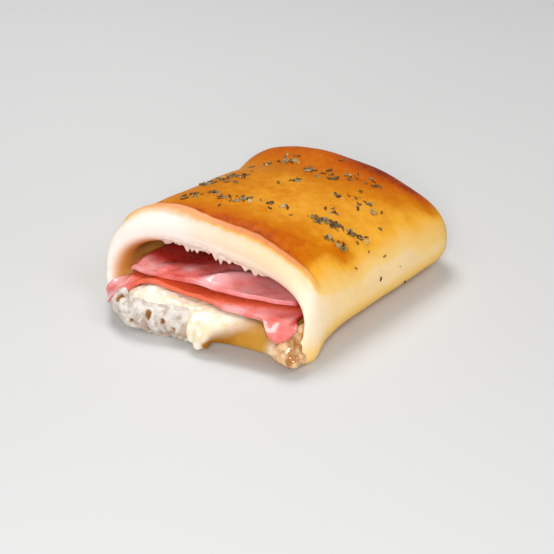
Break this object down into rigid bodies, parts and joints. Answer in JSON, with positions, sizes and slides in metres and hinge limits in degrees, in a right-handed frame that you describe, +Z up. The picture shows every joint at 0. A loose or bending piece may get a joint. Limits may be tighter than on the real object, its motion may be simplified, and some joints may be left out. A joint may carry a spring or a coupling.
{
  "type": "ham and cheese roll",
  "caption": "Baked soft bread roll, closed at the back and torn open at the front, with sliced ham and melted cheese in its mouth and dried oregano on its golden crown.",
  "frame": {"origin": "on the surface that the roll rests on, under the middle of its length", "axes": "+X to the right along the open mouth, +Y from the mouth to the closed back, +Z up"},
  "size_m": [0.1024, 0.1268, 0.0417],
  "materials": {
    "bread": "baked crust, golden brown on the crown and pale at the sides and the torn lip",
    "cheese": "soft melted cheese, moist and slightly translucent",
    "ham": "moist cooked ham, pink with paler fibres"
  },
  "bodies": {
    "root": {"bread_roll": "bread", "cheese_melt": "cheese", "ham_lower": "ham", "ham_upper": "ham"}
  },
  "joints": []
}
